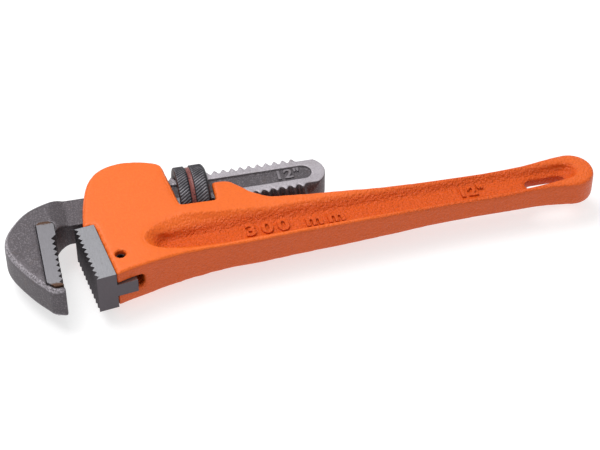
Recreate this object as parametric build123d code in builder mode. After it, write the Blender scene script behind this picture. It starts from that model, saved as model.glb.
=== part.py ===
from build123d import *
import os
from math import atan, cos, pi, radians, sin, sqrt, tan

os.makedirs("parts", exist_ok=True)

# A 300 mm straight pipe wrench lying on its side.
# +X runs along the jaw's shank towards the handle's end, +Y from the mouth
# towards the crown, +Z up. The outlines below are drawn about the centre of
# the adjusting nut, which lies on the shank's axis and on the mid-plane.

# --- datum ---------------------------------------------------------------
NUT_X = -53.38           # nut centre in the part's own frame, whose origin is
NUT_Y = 18.62            # under the middle of the whole wrench
NUT_R = 17.0            # outside radius of the nut: the wrench rests on it

# --- jaw thread ----------------------------------------------------------
PITCH = 4.5             # right-hand thread on the shank's two edges
CREST_R = 12.8
ROOT_R = 10.8
CREST_FLAT = 0.8        # width of a tooth at its crest
ROOT_FLAT = 0.9         # width of the groove between two teeth
THREAD_GAP = 0.3        # from the thread's crests to the nut's bore
SHANK_HALF = 6.5        # half of the shank's thickness
TEETH_START = -18.0
TEETH_END = 57.0
PHASE = 36.0            # where one tooth stands on the crown side
SHANK_END = 69.6
END_ROUND = 10.2
PANEL_HALF = 5.0        # sunk panel on both faces of the shank
PANEL_DEPTH = 1.2
PANEL_START = -20.0
PANEL_END = 62.5

# --- nut -----------------------------------------------------------------
NUT_LENGTH = 16.0
NUT_CHAMFER = 1.0
GROOVE_WIDTH = 2.6
GROOVE_DEPTH = 0.9

# --- hook jaw ------------------------------------------------------------
HOOK_HALF = 9.3
NECK_BACK = 6.2
NECK_FRONT = -13.5
NECK_X = -65.0          # the hook is no thicker than the shank up to here
HOOK_X = -73.0
HOOK_TIP = -61.3
HOOK_ROUND = 3.2
SHOULDER_LINE = -72.2   # plain part of the insert above its teeth
THROAT_R = 7.5
TOOTH_LINE = -73.1      # tips of the hook's teeth
INSERT_BACK = -80.9
INSERT_HALF = 10.0
INSERT_LOW = -58.2
INSERT_HIGH = -11.4
INSERT_BEVEL = 3.6
HOOK_PITCH = 3.9
HOOK_DEPTH = 1.7
HOOK_TEETH = 9

# --- heel jaw ------------------------------------------------------------
HEEL_TILT = 8.0
HEEL_X = -57.6          # lowest tooth tip, where the heel's outline starts
HEEL_Y = -59.5
HEEL_DEPTH = 10.0       # from the tooth tips to the seat
HEEL_HEIGHT = 38.2
HEEL_HALF = 11.0
HEEL_TEETH = 11
HEEL_TOOTH_DEPTH = 1.7
TANG_HALF = 3.7
TANG_END = 20.4
TANG_HIGH = 28.0
TANG_SLOT_END = 24.4    # the slot runs past the tang
PIN_U = 16.1            # pin centre in the heel's outline
PIN_V = 13.3
PIN_R = 2.55
PIN_HALF = 8.6
PIN_WALL = 0.8
PIN_SLIT = 1.0

# --- head and handle -----------------------------------------------------
HEAD_HALF = 11.0
BEAM_HALF = 8.4
WEB_HALF = 2.8
RIM_ROUND = 1.2
SHOULDER_SLOPE = 5.0    # the head's faces fall away towards the handle
END_X = 192.4
END_Y = -30.7
END_R = 12.2
HANG_LENGTH = 21.6
HANG_WIDTH = 6.4
HANG_X = 178.6
HANG_Y = -32.6
SLOT_HALF = 6.9         # half width of the passage for the shank
SLOT_BACK = 13.2
SEAT_GAP = 0.1          # between parts that seat on each other
WINDOW_TILT = 7.0
WINDOW_FOOT = -14.2
WINDOW_LEFT = -8.6      # at the window's foot
WINDOW_RIGHT = 9.6
POCKET_R = 17.8         # hollow round the underside of the nut

# --- springs -------------------------------------------------------------
COIL_X = -33.0
COIL_R = 3.2
WIRE_R = 0.45
COIL_TURNS = 5
COIL_LOW = -27.4
COIL_HIGH = -14.6
COIL_BORE = 4.2
LEAF_START = -50.0
LEAF_END = -12.0
LEAF_HALF = 4.0
LEAF_BACK = -13.8
LEAF_THICK = 0.6
RIVET_X = -15.0
RIVET_R = 1.5
RIVET_GAP = 0.4
RIVET_LOW = -19.0

FLAT = Plane(origin=(NUT_X, NUT_Y, NUT_R))
HEEL = Plane(
    origin=FLAT.from_local_coords(Vector(HEEL_X, HEEL_Y, 0)),
    x_dir=(cos(radians(HEEL_TILT)), sin(radians(HEEL_TILT)), 0),
    z_dir=(0, 0, 1),
)
FRONT = Plane(origin=FLAT.origin, x_dir=(1, 0, 0), z_dir=(0, -1, 0))
TALL = 40.0             # more than any thickness of the wrench


def across(x):
    """Plane square to the shank at x, with its own x along +Y and y along +Z."""
    origin = FLAT.from_local_coords(Vector(x, 0, 0))
    return Plane(origin=origin, x_dir=(0, 1, 0), z_dir=(1, 0, 0))


def upright(x, y):
    """Plane facing +Y at a point of the outlines, with its own x along +X."""
    origin = FLAT.from_local_coords(Vector(x, y, 0))
    return Plane(origin=origin, x_dir=(1, 0, 0), z_dir=(0, 1, 0))


def heel_point(u, v):
    """A point of the heel jaw's outline, seen from the nut's centre."""
    point = FLAT.to_local_coords(HEEL.from_local_coords(Vector(u, v, 0)))
    return (point.X, point.Y)


def biting_teeth(count, pitch, depth):
    """Corners of a row of teeth going up: (distance behind the tips, height)."""
    corners = []
    for n in range(count):
        corners += [(0, n * pitch), (depth, (n + 0.45) * pitch), (0, (n + 0.93) * pitch)]
    return corners


# --- one tooth of the jaw thread, on the crown side of the nut's centre -----
# A tooth is a turned ridge, leaned over by the thread's lead angle.
lead = atan(PITCH / (2 * pi * CREST_R))
crest_half = CREST_FLAT / 2
foot_half = (PITCH - ROOT_FLAT) / 2
leaned = Plane(
    origin=FLAT.origin,
    x_dir=(cos(lead), 0, -sin(lead)),
    z_dir=(sin(lead), 0, cos(lead)),
)

with BuildPart() as thread_tooth:
    with BuildSketch(leaned):
        with BuildLine():
            Polyline(
                (-foot_half - 0.35, ROOT_R - 0.5),
                (-crest_half, CREST_R),
                (crest_half, CREST_R),
                (foot_half + 0.35, ROOT_R - 0.5),
                close=True,
            )
        make_face()
    revolve(axis=Axis(leaned.origin, leaned.x_dir))
    with BuildSketch(FLAT.offset(-SHANK_HALF)):
        with Locations((0, CREST_R)):
            Rectangle(4 * PITCH, 2 * CREST_R)
    extrude(amount=2 * SHANK_HALF, mode=Mode.INTERSECT)

# --- threaded shank of the hook jaw -----------------------------------------
first_tooth = PHASE - PITCH * int((PHASE - TEETH_START) / PITCH)
tooth_count = 1 + int((TEETH_END - first_tooth) / PITCH)
shank_start = TEETH_START - 4

with BuildPart() as hook_shank:
    # a cylinder at the thread's root, flattened top and bottom
    with BuildSketch(across(shank_start)):
        Circle(ROOT_R)
        Rectangle(4 * ROOT_R, 2 * SHANK_HALF, mode=Mode.INTERSECT)
    extrude(amount=SHANK_END - shank_start)
    # its rounded end
    with BuildSketch(FLAT.offset(-SHANK_HALF)):
        with BuildLine():
            Polyline(
                (SHANK_END - END_ROUND, ROOT_R),
                (shank_start, ROOT_R),
                (shank_start, -ROOT_R),
                (SHANK_END - END_ROUND, -ROOT_R),
            )
            ThreePointArc(
                (SHANK_END - END_ROUND, -ROOT_R),
                (SHANK_END, 0),
                (SHANK_END - END_ROUND, ROOT_R),
            )
        make_face()
    extrude(amount=2 * SHANK_HALF, mode=Mode.INTERSECT)
    # thread on both edges; the mouth side is the crown side turned over the axis
    crown_side = [Location((first_tooth + n * PITCH, 0, 0)) for n in range(tooth_count)]
    mouth_side = [
        Location((first_tooth + (n + 0.5) * PITCH, 2 * NUT_Y, 2 * NUT_R), (180, 0, 0))
        for n in range(tooth_count)
    ]
    with Locations(*crown_side, *mouth_side):
        add(thread_tooth.part)
    # sunk panel on both faces
    for face in (1, -1):
        with BuildSketch(FLAT.offset(face * SHANK_HALF)):
            with Locations(((PANEL_START + PANEL_END) / 2, 0)):
                SlotOverall(PANEL_END - PANEL_START, 2 * PANEL_HALF)
        extrude(amount=-face * PANEL_DEPTH, mode=Mode.SUBTRACT)

# --- hook jaw: hook, neck and shank forged in one ---------------------------
face_line = TOOTH_LINE + 0.5
throat_low = NECK_FRONT - THROAT_R
neck_root = ROOT_R - 2

with BuildPart() as hook_jaw:
    with BuildSketch(FLAT.offset(-HOOK_HALF)):
        with BuildLine():
            Line((NECK_X + 3, NECK_FRONT), (NECK_X + 3, NECK_BACK))
            Line((NECK_X + 3, NECK_BACK), (-66.6, NECK_BACK))
            Spline(
                (-66.6, NECK_BACK),
                (-75.4, 4.4),
                (-84.8, -0.2),
                (-92.2, -8.2),
                (-96.8, -16.6),
                (-97.8, -24.5),
                (-95.3, -34.0),
                (-90.6, -43.3),
                (-85.4, -51.8),
                (-81.0, -57.8),
                (-76.5, -60.9),
                tangents=[(-1, 0), (1, -0.35)],
            )
            Line((-76.5, -60.9), (face_line, HOOK_TIP))
            Line((face_line, HOOK_TIP), (face_line, throat_low))
            RadiusArc((face_line, throat_low), (face_line + THROAT_R, NECK_FRONT), THROAT_R)
            Line((face_line + THROAT_R, NECK_FRONT), (NECK_X + 3, NECK_FRONT))
        make_face()
    extrude(amount=2 * HOOK_HALF)
    for end in (0, -1):
        face_edges = hook_jaw.faces().sort_by(Axis.Z)[end].edges()
        fillet(face_edges.sort_by(SortBy.LENGTH)[-1], radius=HOOK_ROUND)
    # both faces fall to the thickness of the neck
    for face in (1, -1):
        with BuildSketch(FRONT):
            with BuildLine():
                Polyline(
                    (HOOK_X, face * HOOK_HALF),
                    (NECK_X, face * SHANK_HALF),
                    (NECK_X + 5, face * SHANK_HALF),
                    (NECK_X + 5, face * TALL),
                    (HOOK_X, face * TALL),
                    close=True,
                )
            make_face()
        extrude(amount=2 * TALL, both=True, mode=Mode.SUBTRACT)
    # seat of the toothed insert
    with BuildSketch(FLAT.offset(-TALL / 2)):
        with BuildLine():
            Polyline(
                (INSERT_BACK + INSERT_BEVEL, INSERT_LOW - SEAT_GAP),
                (INSERT_BACK - SEAT_GAP, INSERT_LOW + INSERT_BEVEL),
                (INSERT_BACK - SEAT_GAP, INSERT_HIGH + SEAT_GAP),
                (SHOULDER_LINE + SEAT_GAP, INSERT_HIGH + SEAT_GAP),
                (SHOULDER_LINE + SEAT_GAP, INSERT_LOW - SEAT_GAP),
                close=True,
            )
        make_face()
    extrude(amount=TALL, mode=Mode.SUBTRACT)
    # neck, narrower than the thread
    with BuildSketch(FLAT.offset(-SHANK_HALF)):
        with BuildLine():
            Polyline(
                (NECK_X, NECK_BACK),
                (NECK_X, NECK_FRONT),
                (-46, NECK_FRONT),
                (-38, -neck_root),
                (shank_start + 1, -neck_root),
                (shank_start + 1, neck_root),
                (-38, neck_root),
                (-46, NECK_BACK),
                close=True,
            )
        make_face()
    extrude(amount=2 * SHANK_HALF)
    add(hook_shank.part)
hook_jaw.part.label = "hook_jaw"
export_step(hook_jaw.part, "parts/hook_jaw.step")

# --- hardened toothed insert let into the hook ------------------------------
teeth_low = INSERT_LOW + 0.6
hook_teeth = [
    (TOOTH_LINE - back, teeth_low + up)
    for back, up in biting_teeth(HOOK_TEETH, HOOK_PITCH, HOOK_DEPTH)
]

with BuildPart() as hook_tooth_insert:
    with BuildSketch(FLAT.offset(-INSERT_HALF)):
        with BuildLine():
            Polyline(
                (INSERT_BACK, INSERT_HIGH - 1.5),
                (INSERT_BACK, INSERT_LOW + INSERT_BEVEL),
                (INSERT_BACK + INSERT_BEVEL, INSERT_LOW),
                (TOOTH_LINE, INSERT_LOW),
                *hook_teeth,
                (SHOULDER_LINE, teeth_low + HOOK_TEETH * HOOK_PITCH + 0.6),
                (SHOULDER_LINE, INSERT_HIGH - 2.5),
                (SHOULDER_LINE - 2.5, INSERT_HIGH),
                (INSERT_BACK + 1.5, INSERT_HIGH),
                close=True,
            )
        make_face()
    extrude(amount=2 * INSERT_HALF)
hook_tooth_insert.part.label = "hook_tooth_insert"
export_step(hook_tooth_insert.part, "parts/hook_tooth_insert.step")

# --- heel jaw: toothed block with a tang in the housing ---------------------
heel_pitch = HEEL_HEIGHT / HEEL_TEETH

with BuildPart() as heel_jaw:
    with BuildSketch(HEEL.offset(-HEEL_HALF)):
        with BuildLine():
            Polyline(
                (HEEL_DEPTH, 0),
                *biting_teeth(HEEL_TEETH, heel_pitch, HEEL_TOOTH_DEPTH),
                (0, HEEL_HEIGHT),
                (HEEL_DEPTH, HEEL_HEIGHT),
                close=True,
            )
        make_face()
    extrude(amount=2 * HEEL_HALF)
    with BuildSketch(HEEL.offset(-TANG_HALF)):
        with BuildLine():
            Polyline(
                (HEEL_DEPTH - 1, 0),
                (TANG_END, 0),
                (TANG_END, TANG_HIGH),
                (HEEL_DEPTH - 1, TANG_HIGH),
                close=True,
            )
        make_face()
    extrude(amount=2 * TANG_HALF)
    with BuildSketch(HEEL.offset(-TANG_HALF)):
        with Locations((PIN_U, PIN_V)):
            Circle(PIN_R + SEAT_GAP)
    extrude(amount=2 * TANG_HALF, mode=Mode.SUBTRACT)
heel_jaw.part.label = "heel_jaw"
export_step(heel_jaw.part, "parts/heel_jaw.step")

# --- spring pin that holds the heel jaw -------------------------------------
with BuildPart() as heel_jaw_pin:
    with BuildSketch(HEEL.offset(-PIN_HALF)):
        with Locations((PIN_U, PIN_V)):
            Circle(PIN_R)
            Circle(PIN_R - PIN_WALL, mode=Mode.SUBTRACT)
        with Locations((PIN_U + PIN_R, PIN_V)):
            Rectangle(2 * PIN_R, PIN_SLIT, mode=Mode.SUBTRACT)
    extrude(amount=2 * PIN_HALF)
    chamfer(heel_jaw_pin.edges().filter_by(GeomType.CIRCLE).group_by(SortBy.RADIUS)[-1], length=0.35)
heel_jaw_pin.part.label = "heel_jaw_pin"
export_step(heel_jaw_pin.part, "parts/heel_jaw_pin.step")

# --- adjusting nut ----------------------------------------------------------
# Its own thread is left out: the bore clears the crests of the shank's thread.
nut_half = NUT_LENGTH / 2

with BuildPart() as adjusting_nut:
    with BuildSketch(across(-nut_half)):
        Circle(NUT_R)
        Circle(CREST_R + THREAD_GAP, mode=Mode.SUBTRACT)
    extrude(amount=NUT_LENGTH)
    rims = adjusting_nut.edges().filter_by(GeomType.CIRCLE).group_by(SortBy.RADIUS)
    chamfer(rims[-1], length=NUT_CHAMFER)
    chamfer(rims[0], length=0.8)
    with BuildSketch(across(-GROOVE_WIDTH / 2)):
        Circle(NUT_R + 1)
        Circle(NUT_R - GROOVE_DEPTH, mode=Mode.SUBTRACT)
    extrude(amount=GROOVE_WIDTH, mode=Mode.SUBTRACT)
adjusting_nut.part.label = "adjusting_nut"
export_step(adjusting_nut.part, "parts/adjusting_nut.step")

# --- coil spring behind the shank -------------------------------------------
coil_pitch = (COIL_HIGH - COIL_LOW - 2 * WIRE_R) / COIL_TURNS

with BuildPart() as coil_spring:
    with BuildLine():
        coil = Helix(
            pitch=coil_pitch,
            height=COIL_TURNS * coil_pitch,
            radius=COIL_R,
            center=upright(COIL_X, COIL_LOW + WIRE_R).origin,
            direction=(0, 1, 0),
        )
    with BuildSketch(Plane(origin=coil @ 0, z_dir=coil % 0)):
        Circle(WIRE_R)
    sweep(path=coil, is_frenet=True)
coil_spring.part.label = "coil_spring"
export_step(coil_spring.part, "parts/coil_spring.step")

# --- leaf spring along the shank, and its rivet -----------------------------
with BuildPart() as flat_spring:
    with BuildSketch(upright((LEAF_START + LEAF_END) / 2, LEAF_BACK - LEAF_THICK)):
        SlotOverall(LEAF_END - LEAF_START, 2 * LEAF_HALF)
    extrude(amount=LEAF_THICK)
    with BuildSketch(upright(RIVET_X, LEAF_BACK - LEAF_THICK)):
        Circle(RIVET_R + RIVET_GAP)
    extrude(amount=LEAF_THICK, mode=Mode.SUBTRACT)
flat_spring.part.label = "flat_spring"
export_step(flat_spring.part, "parts/flat_spring.step")

with BuildPart() as spring_rivet:
    with BuildSketch(upright(RIVET_X, RIVET_LOW)):
        Circle(RIVET_R)
    extrude(amount=LEAF_BACK - RIVET_LOW)
spring_rivet.part.label = "spring_rivet"
export_step(spring_rivet.part, "parts/spring_rivet.step")

# --- hollow of the handle's web, one face ------------------------------------
with BuildPart() as web_hollow:
    with BuildSketch(FLAT.offset(WEB_HALF)):
        with BuildLine():
            Spline(
                (-14.0, -31.0),
                (10.0, -30.3),
                (37.0, -29.2),
                (92.0, -28.2),
                (130.0, -26.9),
                (160.0, -26.7),
                (185.4, -25.6),
                tangents=[(1, 0.1), (1, 0.06)],
            )
            ThreePointArc((185.4, -25.6), (192.1, -30.7), (185.4, -35.8))
            Spline(
                (185.4, -35.8),
                (160.0, -36.3),
                (130.0, -36.6),
                (92.0, -37.3),
                (37.0, -38.8),
                (-14.0, -40.2),
                tangents=[(-1, 0), (-1, 0)],
            )
            ThreePointArc((-14.0, -40.2), (-22.2, -35.8), (-14.0, -31.0))
        make_face()
    extrude(amount=HEAD_HALF + 1 - WEB_HALF, taper=-45)

# --- handle: I-beam grip cast in one with the housing ------------------------
beam_profile = [(-45, 8.4), (10, 8.4), (46, 8.3), (88, 7.4), (130, 6.3), (160, 6.3), (184, 7.1), (215, 7.3)]

with BuildPart() as grip:
    with BuildSketch(FLAT.offset(-TALL / 2)):
        with BuildLine():
            Line((-38, -44.0), (-14, -44.0))
            Spline(
                (-14, -44.0),
                (10, -47.2),
                (46, -45.7),
                (88, -43.8),
                (130, -41.8),
                (160, -41.6),
                (END_X - 4, END_Y - END_R + 0.6),
                tangents=[(1, -0.3), (1, -0.12)],
            )
            ThreePointArc(
                (END_X - 4, END_Y - END_R + 0.6),
                (END_X + END_R, END_Y),
                (END_X - 2, END_Y + END_R - 0.1),
            )
            Spline(
                (END_X - 2, END_Y + END_R - 0.1),
                (178, -20.0),
                (157, -21.4),
                (130, -21.4),
                (94, -20.8),
                (73, -19.3),
                (52, -17.6),
                (38, -16.1),
                (24, -15.0),
                tangents=[(-1, -0.06), (-1, 0.07)],
            )
            Line((24, -15.0), (-38, -15.0))
            Line((-38, -15.0), (-38, -44.0))
        make_face()
    extrude(amount=TALL)
    with BuildSketch(FRONT):
        with BuildLine():
            Spline(*beam_profile, tangents=[(1, 0), (1, 0)])
            Line((215, 7.3), (215, -7.3))
            Spline(*[(x, -half) for x, half in reversed(beam_profile)], tangents=[(-1, 0), (-1, 0)])
            Line((-45, -8.4), (-45, 8.4))
        make_face()
    extrude(amount=2 * TALL, both=True, mode=Mode.INTERSECT)
    outer = grip.edges().filter_by(lambda edge: abs(edge.center().Z - NUT_R) > 3)
    outer = outer.filter_by(lambda edge: edge.center().X > NUT_X - 37)
    outer = outer.filter_by(lambda edge: abs(edge.tangent_at(0.5).Z) < 0.5)
    fillet(outer, radius=RIM_ROUND)

with BuildPart() as housing:
    with BuildSketch(FLAT.offset(-HEAD_HALF)):
        with BuildLine():
            Polyline(
                heel_point(HEEL_DEPTH + SEAT_GAP, 0.3),
                heel_point(HEEL_DEPTH + SEAT_GAP, HEEL_HEIGHT + SEAT_GAP),
                heel_point(4.3, HEEL_HEIGHT + SEAT_GAP),
            )
            Spline(
                heel_point(4.3, HEEL_HEIGHT + SEAT_GAP),
                (-56.7, -6.0),
                (-55.0, 2.0),
                (-51.6, 12.2),
                (-45.0, 20.4),
                (-36.0, 23.8),
                (-25.2, 23.3),
                (-16.6, 20.4),
                (-12.3, 16.0),
                tangents=[(0.1, 1), (0.25, -1)],
            )
            Line((-12.3, 16.0), (WINDOW_RIGHT, -2.0))
            Spline(
                (WINDOW_RIGHT, -2.0),
                (14.0, -1.4),
                (19.2, -2.8),
                (27.7, -10.6),
                (34.0, -14.6),
                (41.0, -19.0),
                tangents=[(1, 0.3), (1, -0.8)],
            )
            Line((41.0, -19.0), (41.0, -30.0))
            Line((41.0, -30.0), (10.0, -47.2))
            Spline(
                (10.0, -47.2),
                (-16.0, -49.8),
                (-32.0, -53.2),
                heel_point(HEEL_DEPTH + SEAT_GAP, 0.3),
                tangents=[(-1, -0.05), (-1, -0.40)],
            )
        make_face()
    extrude(amount=2 * HEAD_HALF)
    # both faces fall away towards the handle
    for face in (1, -1):
        fall = sin(radians(SHOULDER_SLOPE))
        shoulder = Plane(
            origin=FLAT.from_local_coords(Vector(10, -47, face * BEAM_HALF)),
            z_dir=(0.72 * fall, -0.69 * fall, face * sqrt(1 - fall**2)),
        )
        split(bisect_by=shoulder, keep=Keep.BOTTOM)

# --- window in which the adjusting nut turns ---------------------------------
def window_left(y):
    """The window's sloping wall, on the crown's side."""
    return WINDOW_LEFT - tan(radians(WINDOW_TILT)) * (y - WINDOW_FOOT)


with BuildPart() as nut_window:
    # round below the shank's axis, open above it
    with BuildSketch(across(-16)):
        Circle(POCKET_R)
        with Locations((TALL / 2, 0)):
            Rectangle(TALL, 2 * TALL)
    extrude(amount=WINDOW_RIGHT + 16)
    with BuildSketch(FLAT.offset(-TALL)):
        with BuildLine():
            Polyline(
                (window_left(-18), -18),
                (WINDOW_RIGHT, -18),
                (WINDOW_RIGHT, TALL),
                (window_left(TALL), TALL),
                close=True,
            )
        make_face()
    extrude(amount=2 * TALL, mode=Mode.INTERSECT)

# --- handle and housing, one casting ------------------------------------------
with BuildPart() as handle_body:
    add(grip.part)
    add(housing.part)
    add(web_hollow.part, mode=Mode.SUBTRACT)
    mirror(web_hollow.part, about=FLAT, mode=Mode.SUBTRACT)
    add(nut_window.part, mode=Mode.SUBTRACT)
    # passage for the shank, open to the mouth and forked behind the nut
    with BuildSketch(FLAT.offset(-SLOT_HALF)):
        with BuildLine():
            Polyline(
                (-75.0, SLOT_BACK),
                (45.0, SLOT_BACK),
                (45.0, -13.3),
                (WINDOW_RIGHT - 1, -13.3),
                (-9.0, -14.9),
                (-60.0, -20.7),
                (-75.0, -20.7),
                close=True,
            )
        make_face()
    extrude(amount=2 * SLOT_HALF, mode=Mode.SUBTRACT)
    # slot for the heel jaw's tang, and the cross hole for its pin
    with BuildSketch(HEEL.offset(-TANG_HALF - SEAT_GAP)):
        with BuildLine():
            Polyline(
                (HEEL_DEPTH - 5, -8),
                (TANG_SLOT_END, -8),
                (TANG_SLOT_END, TANG_HIGH + 0.6),
                (HEEL_DEPTH - 5, TANG_HIGH + 0.6),
                close=True,
            )
        make_face()
    extrude(amount=2 * (TANG_HALF + SEAT_GAP), mode=Mode.SUBTRACT)
    with BuildSketch(HEEL.offset(-TALL / 2)):
        with Locations((PIN_U, PIN_V)):
            Circle(PIN_R + SEAT_GAP)
    extrude(amount=TALL, mode=Mode.SUBTRACT)
    # blind holes for the coil spring and the leaf spring's rivet
    with BuildSketch(upright(COIL_X, COIL_LOW - SEAT_GAP)):
        Circle(COIL_BORE)
    extrude(amount=COIL_HIGH - COIL_LOW, mode=Mode.SUBTRACT)
    with BuildSketch(upright(RIVET_X, RIVET_LOW - SEAT_GAP)):
        Circle(RIVET_R + 0.05)
    extrude(amount=LEAF_BACK - RIVET_LOW, mode=Mode.SUBTRACT)
    # hanging slot through the web
    with BuildSketch(FLAT.offset(-TALL / 2)):
        with Locations((HANG_X, HANG_Y)):
            SlotOverall(HANG_LENGTH, HANG_WIDTH)
    extrude(amount=TALL, mode=Mode.SUBTRACT)
handle_body.part.label = "handle_body"
export_step(handle_body.part, "parts/handle_body.step")
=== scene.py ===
from functools import partial
from math import atan2, cos, hypot, pi, radians, tan

import bmesh
import bpy
from mathutils import Matrix, Vector


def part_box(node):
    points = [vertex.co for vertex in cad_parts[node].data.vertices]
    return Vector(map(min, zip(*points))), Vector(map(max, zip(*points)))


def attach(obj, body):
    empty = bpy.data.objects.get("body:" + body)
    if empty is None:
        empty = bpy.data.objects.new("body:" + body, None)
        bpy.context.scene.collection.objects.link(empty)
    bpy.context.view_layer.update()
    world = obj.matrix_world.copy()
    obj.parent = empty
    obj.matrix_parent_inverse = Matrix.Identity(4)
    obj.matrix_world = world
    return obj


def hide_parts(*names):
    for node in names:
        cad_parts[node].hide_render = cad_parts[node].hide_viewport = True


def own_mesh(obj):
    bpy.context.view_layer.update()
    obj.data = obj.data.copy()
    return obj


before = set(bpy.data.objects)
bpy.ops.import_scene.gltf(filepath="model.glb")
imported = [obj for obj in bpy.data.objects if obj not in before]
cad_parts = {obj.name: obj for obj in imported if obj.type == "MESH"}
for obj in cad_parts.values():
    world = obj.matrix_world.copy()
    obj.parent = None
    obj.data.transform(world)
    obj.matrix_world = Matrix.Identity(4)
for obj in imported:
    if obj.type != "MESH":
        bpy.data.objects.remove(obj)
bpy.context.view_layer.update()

bl_info = {
    "name": "Pipe Wrench",
    "version": (1, 0, 0),
    "blender": (4, 5, 0),
    "location": "View3D > Sidebar > Wrench",
    "description": "Builds the skin, the knurled nut and the finishes of a 300 mm pipe wrench",
    "category": "Object",
}

MM = 0.001
NUT_LOW, NUT_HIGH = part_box("adjusting_nut")
NUT = (NUT_LOW + NUT_HIGH) / 2          # the nut's centre, on the shank's axis
PITCH = 4.5 * MM                        # of the jaw's thread
RIDGE_TOP = 17 * MM                     # radius of the nut over its knurling
GROOVE_MIDDLE = -0.9 * MM               # where the painted groove runs round the nut
THREAD_ROOT = 13.15 * MM                # the nut's own thread, hidden round the shank
THREAD_DEPTH = 1.85 * MM
HEAD_HALF = 11 * MM                     # half thickness of the housing
WEB_HALF = 2.8 * MM                     # and of the handle's web
PANEL_LEVEL = 5.3 * MM                  # floor of the shank's panel above its middle
PIN_HOLE = 2.65 * MM                    # radius of the cross hole for the pin
SHANK_FRONT = -30 * MM                  # the hook's forging is rounder before this
MARK_SIZE = 1.4                         # text size for figures of height 1


def from_hex(text):
    """An sRGB colour such as "F26A21" as linear red, green, blue and alpha."""
    parts = [int(text[i : i + 2], 16) / 255 for i in (0, 2, 4)]
    linear = [c / 12.92 if c <= 0.04045 else ((c + 0.055) / 1.055) ** 2.4 for c in parts]
    return (*linear, 1.0)


# --- sizes and colours a user would change ------------------------------------
def colour(name, description, value):
    return bpy.props.FloatVectorProperty(
        name=name,
        description=description,
        default=from_hex(value),
        size=4,
        subtype="COLOR",
        min=0,
        max=1,
    )


def length(name, description, value):
    return bpy.props.FloatProperty(
        name=name,
        description=description,
        default=value * MM,
        min=0,
        unit="LENGTH",
        subtype="DISTANCE",
    )


class WrenchCastingSettings(bpy.types.PropertyGroup):
    cell: length("Skin cell", "Size of the cells the casting's skin is made of", 0.72)
    passes: bpy.props.IntProperty(
        name="Softening",
        description="How often the casting's edges are relaxed",
        default=12,
        min=0,
        max=20,
    )
    flats: colour("Enamel on flats", "Orange enamel on the housing's flat sides", "EA6818")
    # painted shade: the colour of the hollows is a deeper, darker orange that stands in for the shade
    # in the recess
    hollows: colour("Enamel in hollows", "Painted shade: deeper, darker orange in the hollows of the web", "DC5404")
    # painted shade: the colour of the upright walls is a darker orange that stands in for the shade on
    # them
    walls: colour("Enamel on walls", "Painted shade: darker orange on the casting's upright walls", "C24C12")
    letter_height: length("Letter height", "Height of the raised size mark on the web", 8.2)
    letter_relief: length("Letter relief", "How far the size mark stands out of the web", 0.8)


class WrenchForgingSettings(bpy.types.PropertyGroup):
    cell: length("Skin cell", "Size of the cells the forging's skin is made of", 0.52)
    passes: bpy.props.IntProperty(
        name="Softening",
        description="How often the forging's edges are relaxed",
        default=1,
        min=0,
        max=20,
    )
    scale: colour("Forging scale", "Dark grey scale on the hook and in the shank's panel", "544F53")
    # this colour also paints the highlight round the hook's rounded rim
    worn_and_highlight: colour("Worn steel and highlight", "Brighter steel along the shank's ribs, and the painted highlight round the hook's rim", "B6B0B6")
    letter_height: length("Letter height", "Height of the size mark in the shank's panel", 6.6)


class WrenchJawSettings(bpy.types.PropertyGroup):
    edge: length("Edge break", "Width of the broken edges on the toothed blocks", 0.25)
    ground: colour("Ground steel", "Ground sides of the toothed blocks", "8E8E92")
    dark: colour("Hardened steel", "Heat-darkened ends and teeth", "544E53")
    braze: colour("Braze", "Brown braze at both ends of the hook's block", "50392C")


class WrenchNutSettings(bpy.types.PropertyGroup):
    ridges: bpy.props.IntProperty(
        name="Ridges",
        description="Number of ridges round each knurled band",
        default=66,
        min=12,
        max=90,
    )
    relief: length("Knurl depth", "Depth of the knurling", 0.5)
    lean: bpy.props.FloatProperty(
        name="Lean",
        description="Angle between the ridges and the nut's axis",
        default=radians(33),
        subtype="ANGLE",
    )
    steel: colour("Gunmetal", "Dark steel of the nut", "58565A")
    band: colour("Groove paint", "Worn red paint in the groove", "7E3E38")


class WrenchStageSettings(bpy.types.PropertyGroup):
    floor: colour("Floor", "Plain pale floor", "B2B2B2")
    sky: bpy.props.FloatProperty(
        name="Sky", description="Strength of the even light", default=0.6, min=0
    )
    lens: bpy.props.FloatProperty(
        name="Lens",
        description="Focal length of the camera in mm",
        default=108,
        min=10,
        unit="CAMERA",
    )


# --- materials -------------------------------------------------------------------
MATH, RANGE, NOISE, MIX = "ShaderNodeMath", "ShaderNodeMapRange", "ShaderNodeTexNoise", "ShaderNodeMix"
EASED = {"interpolation_type": "SMOOTHSTEP"}
COLOURS = {"data_type": "RGBA"}


def add_node(tree, kind, inputs=(), **settings):
    """Adds a node with its own settings. Inputs are values for its sockets, or the nodes or
    outputs that feed them: a dict by socket, or a tuple for the first sockets in order."""
    node = tree.nodes.new(kind)
    for key, value in settings.items():
        setattr(node, key, value)
    for key, value in inputs.items() if isinstance(inputs, dict) else enumerate(inputs):
        if isinstance(value, bpy.types.Node):
            value = next(output for output in value.outputs if output.enabled)
        if isinstance(value, bpy.types.NodeSocket):
            tree.links.new(value, node.inputs[key])
        else:
            node.inputs[key].default_value = value
    return node


def start_material(name):
    """An empty material, what adds its nodes, its Object coordinates in metres about the
    nut's centre, and the way its surface faces."""
    material = bpy.data.materials.new(name)
    material.use_nodes = True
    material.node_tree.nodes.clear()
    add = partial(add_node, material.node_tree)
    place = add("ShaderNodeTexCoord")
    where = add("ShaderNodeVectorMath", (place.outputs["Object"], NUT), operation="SUBTRACT")
    return material, add, where, place.outputs["Normal"]


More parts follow.
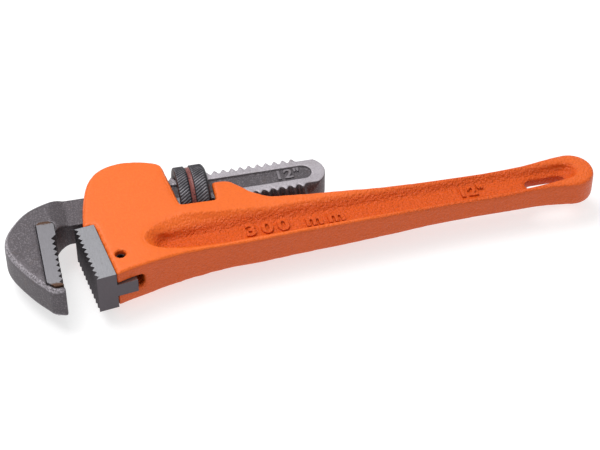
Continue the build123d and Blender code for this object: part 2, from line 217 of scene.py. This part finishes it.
def finish_material(add, shader_inputs, height=None, distance=0.0, strength=0.0):
    """Closes a material's nodes with one shader, with its bump where it has one."""
    inputs = dict(shader_inputs)
    if height is not None:
        bump = {"Strength": strength, "Distance": distance, "Height": height}
        inputs["Normal"] = add("ShaderNodeBump", bump)
    shader = add("ShaderNodeBsdfPrincipled", inputs)
    add("ShaderNodeOutputMaterial", {"Surface": shader})


def enamelled_casting(settings):
    """Orange enamel sprayed over a sand casting: smooth on the linished sides of the housing, pebbled
    like the sand's grain in the hollows and along the walls. Its colour carries painted shade: a
    deeper, darker orange in the hollows and darker on the upright walls."""
    material, add, where, normal = start_material("orange_enamel_on_sand_casting")
    height_off = add(MATH, (add("ShaderNodeSeparateXYZ", (where,)).outputs["Z"],), operation="ABSOLUTE")
    level = add(MATH, (add("ShaderNodeSeparateXYZ", (normal,)).outputs["Z"],), operation="ABSOLUTE")
    flat = add(RANGE, (level, 0.90, 0.99), **EASED)
    raised = add(RANGE, (height_off, 7.2 * MM, 9.6 * MM), **EASED)
    linished = add(MATH, (flat, raised), operation="MULTIPLY")
    not_wall = add(RANGE, (level, 0.25, 0.6), **EASED)
    deep = add(RANGE, (height_off, 8.6 * MM, 5.0 * MM), **EASED)
    hollow = add(MATH, (not_wall, deep), operation="MULTIPLY")
    # sand grain 1.25 mm across, drawn coarser than it is so that it shows, the enamel's
    # orange peel 0.5 mm across, and clouds where the coat is thicker
    sand = add(NOISE, {"Vector": where, "Scale": 1 / (1.25 * MM), "Detail": 2.5, "Roughness": 0.55})
    peel = add(NOISE, {"Vector": where, "Scale": 1 / (0.5 * MM), "Detail": 2.0, "Roughness": 0.5})
    cloud = add(NOISE, {"Vector": where, "Scale": 1 / (14 * MM), "Detail": 2.0, "Roughness": 0.5})
    # painted shade: the hollow of the web is coloured a deeper, darker orange
    tone = add(MIX, {0: hollow, 6: settings.flats, 7: settings.hollows}, **COLOURS)
    # painted shade: the upright walls are coloured darker
    wall = add(MATH, (1.0, not_wall), operation="SUBTRACT")
    painted_wall_shade = add(MATH, (wall, 0.85), operation="MULTIPLY")
    tone = add(MIX, {0: painted_wall_shade, 6: tone, 7: settings.walls}, **COLOURS)
    grains = add(MATH, (add(RANGE, (sand, 0.35, 0.62), **EASED), 0.16), operation="MULTIPLY")
    tone = add(MIX, {0: grains, 6: tone, 7: from_hex("B03C00")}, **COLOURS)
    thick = add(MATH, (cloud, 0.10), operation="MULTIPLY")
    tone = add(MIX, {0: thick, 6: tone, 7: from_hex("F2701E")}, **COLOURS)
    filled = add(MATH, (linished, 0.88), operation="MULTIPLY")
    left_rough = add(MATH, (1.0, filled), operation="SUBTRACT")
    coarse = add(MATH, (sand, left_rough), operation="MULTIPLY")
    pooled = add(MATH, (hollow, 0.75), operation="ADD")
    pebbles = add(MATH, (coarse, pooled), operation="MULTIPLY")
    fine = add(MATH, (peel, 0.06), operation="MULTIPLY")
    height = add(MATH, (pebbles, fine), operation="ADD")
    duller = add(MATH, (cloud, 0.16), operation="MULTIPLY")
    shader = {
        "Base Color": tone,
        "Metallic": 0.0,
        "Roughness": add(MATH, (0.34, duller), operation="ADD"),
        "IOR": 1.5,
        "Specular IOR Level": 0.3,
        "Coat Weight": 0.06,
        "Coat Roughness": 0.25,
    }
    finish_material(add, shader, height, 1.3 * MM, 0.8)
    return material


def forged_steel(settings):
    """Drop-forged steel with its dark scale left on, rubbed bright along the ribs of the shank, and
    pitted round the hook's rim, where a painted highlight colours the steel bright between the pits."""
    material, add, where, normal = start_material("scaled_drop_forging")
    axis = add("ShaderNodeSeparateXYZ", (where,)).outputs
    height_off = add(MATH, (axis["Z"],), operation="ABSOLUTE")
    level = add(MATH, (add("ShaderNodeSeparateXYZ", (normal,)).outputs["Z"],), operation="ABSOLUTE")
    flat = add(RANGE, (level, 0.55, 0.9), **EASED)
    raised = add(RANGE, (height_off, 5.8 * MM, 6.2 * MM), **EASED)
    rib = add(MATH, (raised, flat), operation="MULTIPLY")
    behind_nut = add(RANGE, (axis["X"], -14 * MM, -6 * MM), **EASED)
    rib = add(MATH, (rib, behind_nut), operation="MULTIPLY")
    # grains of scale 0.8 mm across, rust in spots of 4.5 mm, tempering in patches of 9 mm
    speck = add(NOISE, {"Vector": where, "Scale": 1 / (0.8 * MM), "Detail": 4.0, "Roughness": 0.65})
    patch = add(NOISE, {"Vector": where, "Scale": 1 / (9 * MM), "Detail": 3.0, "Roughness": 0.55})
    spots = add(NOISE, {"Vector": where, "Scale": 1 / (4.5 * MM), "Detail": 4.0, "Roughness": 0.6})
    tone = add(MIX, {0: rib, 6: settings.scale, 7: settings.worn_and_highlight}, **COLOURS)
    bare = add(MATH, (add(RANGE, (speck, 0.48, 0.66), **EASED), 0.55), operation="MULTIPLY")
    tone = add(MIX, {0: bare, 6: tone, 7: from_hex("948E93")}, **COLOURS)
    tempered = add(MATH, (patch, 0.35), operation="MULTIPLY")
    tone = add(MIX, {0: tempered, 6: tone, 7: from_hex("4A4446")}, **COLOURS)
    rust = add(MATH, (add(RANGE, (spots, 0.56, 0.72), **EASED), 0.18), operation="MULTIPLY")
    tone = add(MIX, {0: rust, 6: tone, 7: from_hex("6B5546")}, **COLOURS)
    # painted highlight: the hook's rounded rim is coloured bright steel between the pits
    off_wall = add(RANGE, (level, 0.12, 0.4), **EASED)
    off_flat = add(RANGE, (level, 0.97, 0.8), **EASED)
    rim = add(MATH, (off_wall, off_flat), operation="MULTIPLY")
    on_hook = add(RANGE, (axis["X"], -68 * MM, -76 * MM), **EASED)
    rim = add(MATH, (rim, on_hook), operation="MULTIPLY")
    between_pits = add(RANGE, (speck, 0.60, 0.42), **EASED)
    lightened = add(MATH, (rim, between_pits), operation="MULTIPLY")
    lightened = add(MATH, (lightened, 0.9), operation="MULTIPLY")
    tone = add(MIX, {0: lightened, 6: tone, 7: settings.worn_and_highlight}, **COLOURS)
    duller = add(MATH, (speck, 0.3), operation="MULTIPLY")
    waves = add(MATH, (patch, 0.8), operation="MULTIPLY")
    shader = {
        "Base Color": tone,
        "Metallic": 0.72,
        "Roughness": add(MATH, (0.36, duller), operation="ADD"),
    }
    finish_material(add, shader, add(MATH, (speck, waves), operation="ADD"), 0.4 * MM, 0.8)
    return material


def toothed_steel(settings, name, braze=None):
    """Hardened tool steel: its sides ground bright with fine lines, its teeth and ends left
    dark from the furnace. Braze gives the two heights beyond which it is brown with braze."""
    material, add, where, normal = start_material(name)
    facing = add("ShaderNodeSeparateXYZ", (normal,)).outputs
    level = add(MATH, (facing["Z"],), operation="ABSOLUTE")
    endwise = add(MATH, (facing["X"],), operation="ABSOLUTE")
    bright = add(RANGE, (level, 0.80, 0.97), **EASED)
    toothed = add(RANGE, (endwise, 0.30, 0.7), **EASED)
    # grinding lines run across the block, 0.3 mm apart, over mottling of 1.1 mm
    slant = {"Vector": where, "Rotation": (0, 0, radians(20)), "Scale": (1.0, 0.06, 1.0)}
    drawn_out = add("ShaderNodeMapping", slant)
    lines = add(NOISE, {"Vector": drawn_out, "Scale": 1 / (0.3 * MM), "Detail": 2.0, "Roughness": 0.5})
    speck = add(NOISE, {"Vector": where, "Scale": 1 / (1.1 * MM), "Detail": 4.0, "Roughness": 0.6})
    shade = add(MATH, (toothed, 0.55), operation="MULTIPLY")
    tone = add(MIX, {0: shade, 6: settings.dark, 7: from_hex("262326")}, **COLOURS)
    mottled = add(MATH, (speck, 0.35), operation="MULTIPLY")
    tone = add(MIX, {0: mottled, 6: tone, 7: from_hex("6A6569")}, **COLOURS)
    scored = add(MATH, (add(RANGE, (lines, 0.3, 0.7), **EASED), 0.35), operation="MULTIPLY")
    shiny = add(MIX, {0: scored, 6: settings.ground, 7: from_hex("78777B")}, **COLOURS)
    stained = add(MATH, (add(RANGE, (speck, 0.5, 0.75), **EASED), 0.4), operation="MULTIPLY")
    shiny = add(MIX, {0: stained, 6: shiny, 7: from_hex("6E6B6E")}, **COLOURS)
    tone = add(MIX, {0: bright, 6: tone, 7: shiny}, **COLOURS)
    if braze:
        lower, upper = braze
        tone = add(MIX, {0: 0.4, 6: tone, 7: settings.dark}, **COLOURS)
        ragged = add(MATH, (speck, 0.5), operation="SUBTRACT")
        ragged = add(MATH, (ragged, 2.4 * MM), operation="MULTIPLY")
        along = add("ShaderNodeSeparateXYZ", (where,)).outputs["Y"]
        along = add(MATH, (along, ragged), operation="ADD")
        at_foot = add(RANGE, (along, lower + 1.0 * MM, lower), **EASED)
        at_top = add(RANGE, (along, upper - 1.0 * MM, upper), **EASED)
        brazed = add(MATH, (at_foot, at_top), operation="MAXIMUM")
        tone = add(MIX, {0: brazed, 6: tone, 7: settings.braze}, **COLOURS)
    polish = add(MATH, (bright, 0.14), operation="MULTIPLY")
    bumps = add(MATH, (speck, 0.6), operation="MULTIPLY")
    scores = add(MATH, (lines, 0.35), operation="MULTIPLY")
    shader = {
        "Base Color": tone,
        "Metallic": 0.75,
        "Roughness": add(MATH, (0.52, polish), operation="SUBTRACT"),
    }
    finish_material(add, shader, add(MATH, (bumps, scores), operation="ADD"), 0.12 * MM, 0.4)
    return material


def knurled_gunmetal(settings):
    """Blackened steel whose ridges are rubbed bright, with red paint left in the groove."""
    material, add, where, _ = start_material("knurled_gunmetal")
    axis = add("ShaderNodeSeparateXYZ", (where,)).outputs
    spoke = add("ShaderNodeCombineXYZ", (0.0, axis["Y"], axis["Z"]))
    radius = add("ShaderNodeVectorMath", (spoke,), operation="LENGTH")
    top = add(RANGE, (radius, 16.55 * MM, 16.95 * MM), **EASED)
    # specks of blacking 0.7 mm across, and patches of 5 mm where the thumb has rubbed
    speck = add(NOISE, {"Vector": where, "Scale": 1 / (0.7 * MM), "Detail": 3.0, "Roughness": 0.6})
    patch = add(NOISE, {"Vector": where, "Scale": 1 / (5 * MM), "Detail": 3.0, "Roughness": 0.6})
    tone = add(MIX, {0: top, 6: from_hex("2A282C"), 7: settings.steel}, **COLOURS)
    lightened = add(MATH, (top, add(RANGE, (patch, 0.4, 0.7), **EASED)), operation="MULTIPLY")
    lightened = add(MATH, (lightened, 0.6), operation="MULTIPLY")
    tone = add(MIX, {0: lightened, 6: tone, 7: from_hex("8C898E")}, **COLOURS)
    # red paint fills the groove and has worn off in places
    from_groove = add(MATH, (axis["X"], -GROOVE_MIDDLE), operation="ADD")
    from_groove = add(MATH, (from_groove,), operation="ABSOLUTE")
    inside = add(RANGE, (from_groove, 1.25 * MM, 0.9 * MM), **EASED)
    outside = add(RANGE, (radius, 15.2 * MM, 15.6 * MM), **EASED)
    groove = add(MATH, (inside, outside), operation="MULTIPLY")
    kept = add(RANGE, (speck, 0.68, 0.5), **EASED)
    paint = add(MATH, (groove, kept), operation="MULTIPLY")
    tone = add(MIX, {0: paint, 6: tone, 7: settings.band}, **COLOURS)
    covered = add(MATH, (paint, 0.8), operation="MULTIPLY")
    duller = add(MATH, (speck, 0.25), operation="MULTIPLY")
    shader = {
        "Base Color": tone,
        "Metallic": add(MATH, (0.85, covered), operation="SUBTRACT"),
        "Roughness": add(MATH, (0.36, duller), operation="ADD"),
    }
    finish_material(add, shader, speck, 0.08 * MM, 0.4)
    return material


def spring_steel():
    """Blackened spring steel with a faint oily sheen."""
    material, add, where, _ = start_material("blackened_spring_steel")
    # blacking in specks 0.6 mm across
    speck = add(NOISE, {"Vector": where, "Scale": 1 / (0.6 * MM), "Detail": 3.0, "Roughness": 0.6})
    duller = add(MATH, (speck, 0.25), operation="MULTIPLY")
    shader = {
        "Base Color": add(MIX, {0: speck, 6: from_hex("2E2D30"), 7: from_hex("5C5A5E")}, **COLOURS),
        "Metallic": 0.9,
        "Roughness": add(MATH, (0.3, duller), operation="ADD"),
    }
    finish_material(add, shader, speck, 0.05 * MM, 0.3)
    return material


def pale_floor(settings):
    """Matt white board under the tool. It glows a little, so that shadows stay faint."""
    material, add, where, _ = start_material("matt_white_board")
    # unevenness of the board, 60 mm across
    cloud = add(NOISE, {"Vector": where, "Scale": 1 / (60 * MM), "Detail": 3.0, "Roughness": 0.5})
    shader = {
        "Base Color": add(MIX, {0: cloud, 6: settings.floor, 7: from_hex("AFAFB0")}, **COLOURS),
        "Roughness": 0.9,
        "Emission Color": from_hex("FFFFFF"),
        "Emission Strength": 0.62,
    }
    finish_material(add, shader)
    return material


# --- mesh helpers ------------------------------------------------------------------
def show(name, mesh, material, body, slot, *nodes):
    """Puts a finished mesh in the scene, on its body, in place of the CAD nodes."""
    piece = bpy.data.objects.new(name, mesh)
    bpy.context.scene.collection.objects.link(piece)
    piece.data.materials.clear()
    piece.data.materials.append(material)
    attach(piece, body)
    if nodes:
        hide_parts(*nodes)
    return piece


def merged_copy(node):
    """A copy of a CAD node's mesh with its loose triangles joined."""
    shell = bmesh.new()
    shell.from_mesh(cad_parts[node].data)
    bmesh.ops.remove_doubles(shell, verts=shell.verts[:], dist=1e-6)
    return shell


def softened_copy(node, cell, passes, more=0, up_to=0.0):
    """A CAD node with an even skin and relaxed edges, as a casting or a forging has.
    What lies before x = up_to is then relaxed that many more times."""
    shell = merged_copy(node)
    mesh = bpy.data.meshes.new("shell")
    shell.to_mesh(mesh)
    shell.free()
    raw = bpy.data.objects.new("shell", mesh)
    bpy.context.scene.collection.objects.link(raw)
    skin = raw.modifiers.new("Even skin", "REMESH")
    skin.mode = "VOXEL"
    skin.voxel_size = cell
    skin.adaptivity = 0.0
    solid = raw.evaluated_get(bpy.context.evaluated_depsgraph_get())
    made = bpy.data.meshes.new_from_object(solid)
    bpy.data.objects.remove(raw)
    work = bmesh.new()
    work.from_mesh(made)
    before = [vert for vert in work.verts if vert.co.x < up_to]
    for verts in [work.verts[:]] * passes + [before] * more:
        bmesh.ops.smooth_vert(
            work, verts=verts, factor=0.5, use_axis_x=True, use_axis_y=True, use_axis_z=True
        )
    for face in work.faces:
        face.smooth = True
    work.to_mesh(made)
    work.free()
    return made


def broken_edges(node, width):
    """A CAD block as whole faces, with its sharp edges broken."""
    block = merged_copy(node)
    bmesh.ops.dissolve_limit(
        block, angle_limit=radians(1), verts=block.verts[:], edges=block.edges[:]
    )
    sharp = [e for e in block.edges if e.is_manifold and e.calc_face_angle(0) > radians(25)]
    bmesh.ops.bevel(
        block,
        geom=sharp,
        offset=width,
        offset_type="OFFSET",
        affect="EDGES",
        segments=2,
        profile=0.5,
        material=-1,
        clamp_overlap=True,
    )
    made = bpy.data.meshes.new(node)
    block.to_mesh(made)
    block.free()
    return made


def raised_text(words, height, relief, spacing, place):
    """Raised lettering, turned into a mesh and set at its place."""
    curve = bpy.data.curves.new("mark", "FONT")
    curve.body = words
    curve.size = height * MARK_SIZE
    curve.extrude = relief / 2
    curve.bevel_depth = relief * 0.22
    curve.bevel_resolution = 2
    curve.space_character = spacing
    curve.offset = 0.02 * height
    curve.align_x = "CENTER"
    curve.align_y = "CENTER"
    text = bpy.data.objects.new("mark", curve)
    bpy.context.scene.collection.objects.link(text)
    shaped = text.evaluated_get(bpy.context.evaluated_depsgraph_get())
    made = bpy.data.meshes.new_from_object(shaped)
    bpy.data.objects.remove(text)
    made.transform(place)
    return made


# --- pieces -------------------------------------------------------------------------
class WrenchCasting(bpy.types.Operator):
    """Builds the enamelled casting of housing and handle, with its size marks"""

    bl_idname = "wrench.casting"
    bl_label = "Casting"

    def execute(self, context):
        settings = context.scene.wrench_casting
        enamel = enamelled_casting(settings)
        skin = softened_copy("handle_body", settings.cell, settings.passes)
        # the cross hole for the pin is drilled after casting, so its rim is crisp
        pin_low, pin_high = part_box("heel_jaw_pin")
        centre = (pin_low + pin_high) / 2
        for vert in skin.vertices:
            reach = Vector((vert.co.x - centre.x, vert.co.y - centre.y))
            rise = vert.co.z - NUT.z
            if abs(rise) > HEAD_HALF - 1 * MM and 2.9 * MM < reach.length < 4.2 * MM:
                vert.co.z = NUT.z + (HEAD_HALF if rise > 0 else -HEAD_HALF)
            elif 1 * MM < reach.length <= 2.9 * MM:
                reach *= PIN_HOLE / reach.length
                vert.co.x, vert.co.y = centre.x + reach.x, centre.y + reach.y
        show("handle_casting", skin, enamel, "handle", "casting", "handle_body")
        tall = settings.letter_height
        # name, words, height, spacing, place in mm from the nut's centre, turn in degrees
        marks = (
            ("size_mark_metric", "300 mm", tall, 1.45, (46, -34.4), 0.8),
            ("size_mark_inch", '12"', tall * 0.8, 1.15, (139, -31.8), 0.6),
        )
        for name, words, height, spacing, (x, y), turn in marks:
            spot = NUT + Vector((x * MM, y * MM, WEB_HALF))
            place = Matrix.Translation(spot) @ Matrix.Rotation(radians(turn), 4, "Z")
            text = raised_text(words, height, settings.letter_relief * 2, spacing, place)
            show(name, text, enamel, "handle", "casting")
        return {"FINISHED"}


class WrenchForging(bpy.types.Operator):
    """Builds the forged hook jaw and the size mark in its shank"""

    bl_idname = "wrench.forging"
    bl_label = "Hook jaw"

    def execute(self, context):
        settings = context.scene.wrench_forging
        steel = forged_steel(settings)
        skin = softened_copy(
            "hook_jaw", settings.cell, settings.passes, more=7, up_to=NUT.x + SHANK_FRONT
        )
        show("hook_forging", skin, steel, "hook", "forging", "hook_jaw")
        place = Matrix.Translation(NUT + Vector((50 * MM, 0.6 * MM, PANEL_LEVEL)))
        text = raised_text('12"', settings.letter_height, 0.9 * MM, 1.1, place)
        show("size_mark_shank", text, steel, "hook", "forging")
        return {"FINISHED"}


class WrenchToothedBlocks(bpy.types.Operator):
    """Builds the two toothed blocks with their edges broken"""

    bl_idname = "wrench.toothed_blocks"
    bl_label = "Toothed blocks"

    def execute(self, context):
        settings = context.scene.wrench_jaws
        low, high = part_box("hook_tooth_insert")
        braze = (low.y - NUT.y + 1.4 * MM, high.y - NUT.y - 1.4 * MM)
        brazed = toothed_steel(settings, "ground_tool_steel_brazed", braze)
        pinned = toothed_steel(settings, "ground_tool_steel")
        hook_block = broken_edges("hook_tooth_insert", settings.edge)
        show("hook_block", hook_block, brazed, "hook", "ground_steel", "hook_tooth_insert")
        heel_block = broken_edges("heel_jaw", settings.edge)
        show("heel_block", heel_block, pinned, "handle", "ground_steel", "heel_jaw")
        return {"FINISHED"}


class WrenchNut(bpy.types.Operator):
    """Builds the adjusting nut with two knurled bands, a painted groove and its thread"""

    bl_idname = "wrench.nut"
    bl_label = "Adjusting nut"

    def execute(self, context):
        settings = context.scene.wrench_nut
        band_one = [(-7.5 + 0.44 * i, 17.0) for i in range(12)]
        band_two = [(0.5 + 0.46 * i, 17.0) for i in range(13)]
        outside = [
            # (along the axis, radius) in mm: round the outside, then back through the bore
            (-8.0, 13.9),
            (-8.0, 16.2),
            (-7.75, 16.7),
            *band_one,
            (-2.25, 16.15),
            (-0.9, 16.1),
            (0.3, 16.15),
            *band_two,
            (6.6, 16.75),
            (7.3, 16.1),
            (7.85, 15.1),
            (8.0, 13.9),
        ]
        bore = [(7.2 - 0.375 * i, 12.9) for i in range(39)]
        ring = bmesh.new()
        chain = [ring.verts.new((x * MM, 0, r * MM)) for x, r in outside + bore]
        for first, second in zip(chain, chain[1:] + chain[:1]):
            ring.edges.new((first, second))
        bmesh.ops.spin(
            ring,
            geom=ring.verts[:] + ring.edges[:],
            cent=(0, 0, 0),
            axis=(1, 0, 0),
            angle=2 * pi,
            steps=settings.ridges * 6,
            use_merge=True,
        )
        bmesh.ops.remove_doubles(ring, verts=ring.verts[:], dist=1e-6)
        for vert in ring.verts:
            x, radius, turn = vert.co.x, hypot(vert.co.y, vert.co.z), atan2(vert.co.z, vert.co.y)
            wanted = radius
            if radius > RIDGE_TOP - 0.05 * MM:
                shift = x * tan(settings.lean) / RIDGE_TOP
                wave = 0.5 + 0.5 * cos(settings.ridges * (turn + shift))
                wanted = radius - settings.relief * (1 - wave**0.7)
            elif radius < 13.5 * MM:
                off_crest = abs((x / PITCH - turn / (2 * pi) + 0.5) % 1 - 0.5) * PITCH
                share = min(1, max(0, (off_crest - 0.5 * MM) / (1.3 * MM)))
                wanted = THREAD_ROOT - THREAD_DEPTH * share
            vert.co.y *= wanted / radius
            vert.co.z *= wanted / radius
        bmesh.ops.recalc_face_normals(ring, faces=ring.faces[:])
        for face in ring.faces:
            face.smooth = True
        bmesh.ops.translate(ring, verts=ring.verts[:], vec=NUT)
        made = bpy.data.meshes.new("adjusting_nut_ring")
        ring.to_mesh(made)
        ring.free()
        show("knurled_nut", made, knurled_gunmetal(settings), "nut", "nut_steel", "adjusting_nut")
        return {"FINISHED"}


class WrenchSmallParts(bpy.types.Operator):
    """Gives the pin, the springs and the rivet their finish"""

    bl_idname = "wrench.small_parts"
    bl_label = "Pin and springs"

    def execute(self, context):
        steel = spring_steel()
        for node in ("heel_jaw_pin", "flat_spring", "spring_rivet"):
            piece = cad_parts[node]
            piece.data.materials.clear()
            piece.data.materials.append(steel)
        # the coil spring, which the leaf spring presses down as the jaw rocks, gets a copy of its mesh
        # of its own, shaded smooth
        wire = merged_copy("coil_spring")
        for face in wire.faces:
            face.smooth = True
        made = bpy.data.meshes.new("coil")
        wire.to_mesh(made)
        wire.free()
        coil = show("pressed_coil", made, steel, "handle", "spring_steel", "coil_spring")
        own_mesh(coil)
        return {"FINISHED"}


class WrenchStage(bpy.types.Operator):
    """Sets the floor, the lights and the camera"""

    bl_idname = "wrench.stage"
    bl_label = "Stage"

    def execute(self, context):
        settings = context.scene.wrench_stage
        scene = context.scene
        board = bmesh.new()
        bmesh.ops.create_grid(board, x_segments=8, y_segments=8, size=4)
        mesh = bpy.data.meshes.new("floor")
        board.to_mesh(mesh)
        board.free()
        floor = bpy.data.objects.new("floor", mesh)
        scene.collection.objects.link(floor)
        floor.data.materials.append(pale_floor(settings))
        world = bpy.data.worlds.new("even_sky")
        world.use_nodes = True
        sky = world.node_tree.nodes["Background"]
        sky.inputs["Color"].default_value = from_hex("FFFFFF")
        sky.inputs["Strength"].default_value = settings.sky
        scene.world = world
        # a wide softbox over the tool, behind it and to the left
        for name, place, size, power in (
            ("softbox_high", (-0.45, 0.5, 1.3), 1.0, 18.0),
            ("softbox_front", (0.9, -1.0, 0.9), 0.8, 0.8),
        ):
            light = bpy.data.lights.new(name, "AREA")
            light.shape = "SQUARE"
            light.size = size
            light.energy = power
            lamp = bpy.data.objects.new(name, light)
            scene.collection.objects.link(lamp)
            lamp.location = place
            lamp.rotation_euler = (-Vector(place)).to_track_quat("-Z", "Y").to_euler()
        view = bpy.data.cameras.new("camera")
        view.sensor_width = 36
        view.lens = settings.lens
        view.clip_start = 0.01
        camera = bpy.data.objects.new("camera", view)
        scene.collection.objects.link(camera)
        place = NUT + Vector((-0.1064, -0.68425, 0.6096))
        target = NUT + Vector((0.0517, -0.02075, -0.011))
        camera.location = place
        camera.rotation_euler = (target - place).to_track_quat("-Z", "Y").to_euler()
        scene.camera = camera
        scene.view_settings.view_transform = "Standard"
        return {"FINISHED"}


class WrenchPanel(bpy.types.Panel):
    """Lists the wrench's pieces"""

    bl_idname = "VIEW3D_PT_wrench"
    bl_label = "Pipe wrench"
    bl_space_type = "VIEW_3D"
    bl_region_type = "UI"
    bl_category = "Wrench"

    def draw(self, context):
        for operator, settings in STEPS:
            box = self.layout.box()
            box.operator(operator.bl_idname)
            group = getattr(context.scene, settings, None) if settings else None
            if group:
                for name in group.bl_rna.properties.keys():
                    if name not in ("rna_type", "name"):
                        box.prop(group, name)


GROUPS = (
    ("wrench_casting", WrenchCastingSettings),
    ("wrench_forging", WrenchForgingSettings),
    ("wrench_jaws", WrenchJawSettings),
    ("wrench_nut", WrenchNutSettings),
    ("wrench_stage", WrenchStageSettings),
)
STEPS = (
    (WrenchCasting, "wrench_casting"),
    (WrenchForging, "wrench_forging"),
    (WrenchToothedBlocks, "wrench_jaws"),
    (WrenchNut, "wrench_nut"),
    (WrenchSmallParts, None),
    (WrenchStage, "wrench_stage"),
)


def register():
    for name, group in GROUPS:
        bpy.utils.register_class(group)
        setattr(bpy.types.Scene, name, bpy.props.PointerProperty(type=group))
    for operator, _ in STEPS:
        bpy.utils.register_class(operator)
    bpy.utils.register_class(WrenchPanel)


def unregister():
    bpy.utils.unregister_class(WrenchPanel)
    for operator, _ in reversed(STEPS):
        bpy.utils.unregister_class(operator)
    for name, group in reversed(GROUPS):
        delattr(bpy.types.Scene, name)
        bpy.utils.unregister_class(group)


def main():
    register()
    bpy.ops.wrench.casting()
    bpy.ops.wrench.forging()
    bpy.ops.wrench.toothed_blocks()
    bpy.ops.wrench.nut()
    bpy.ops.wrench.small_parts()
    bpy.ops.wrench.stage()


if __name__ == "__main__":
    main()
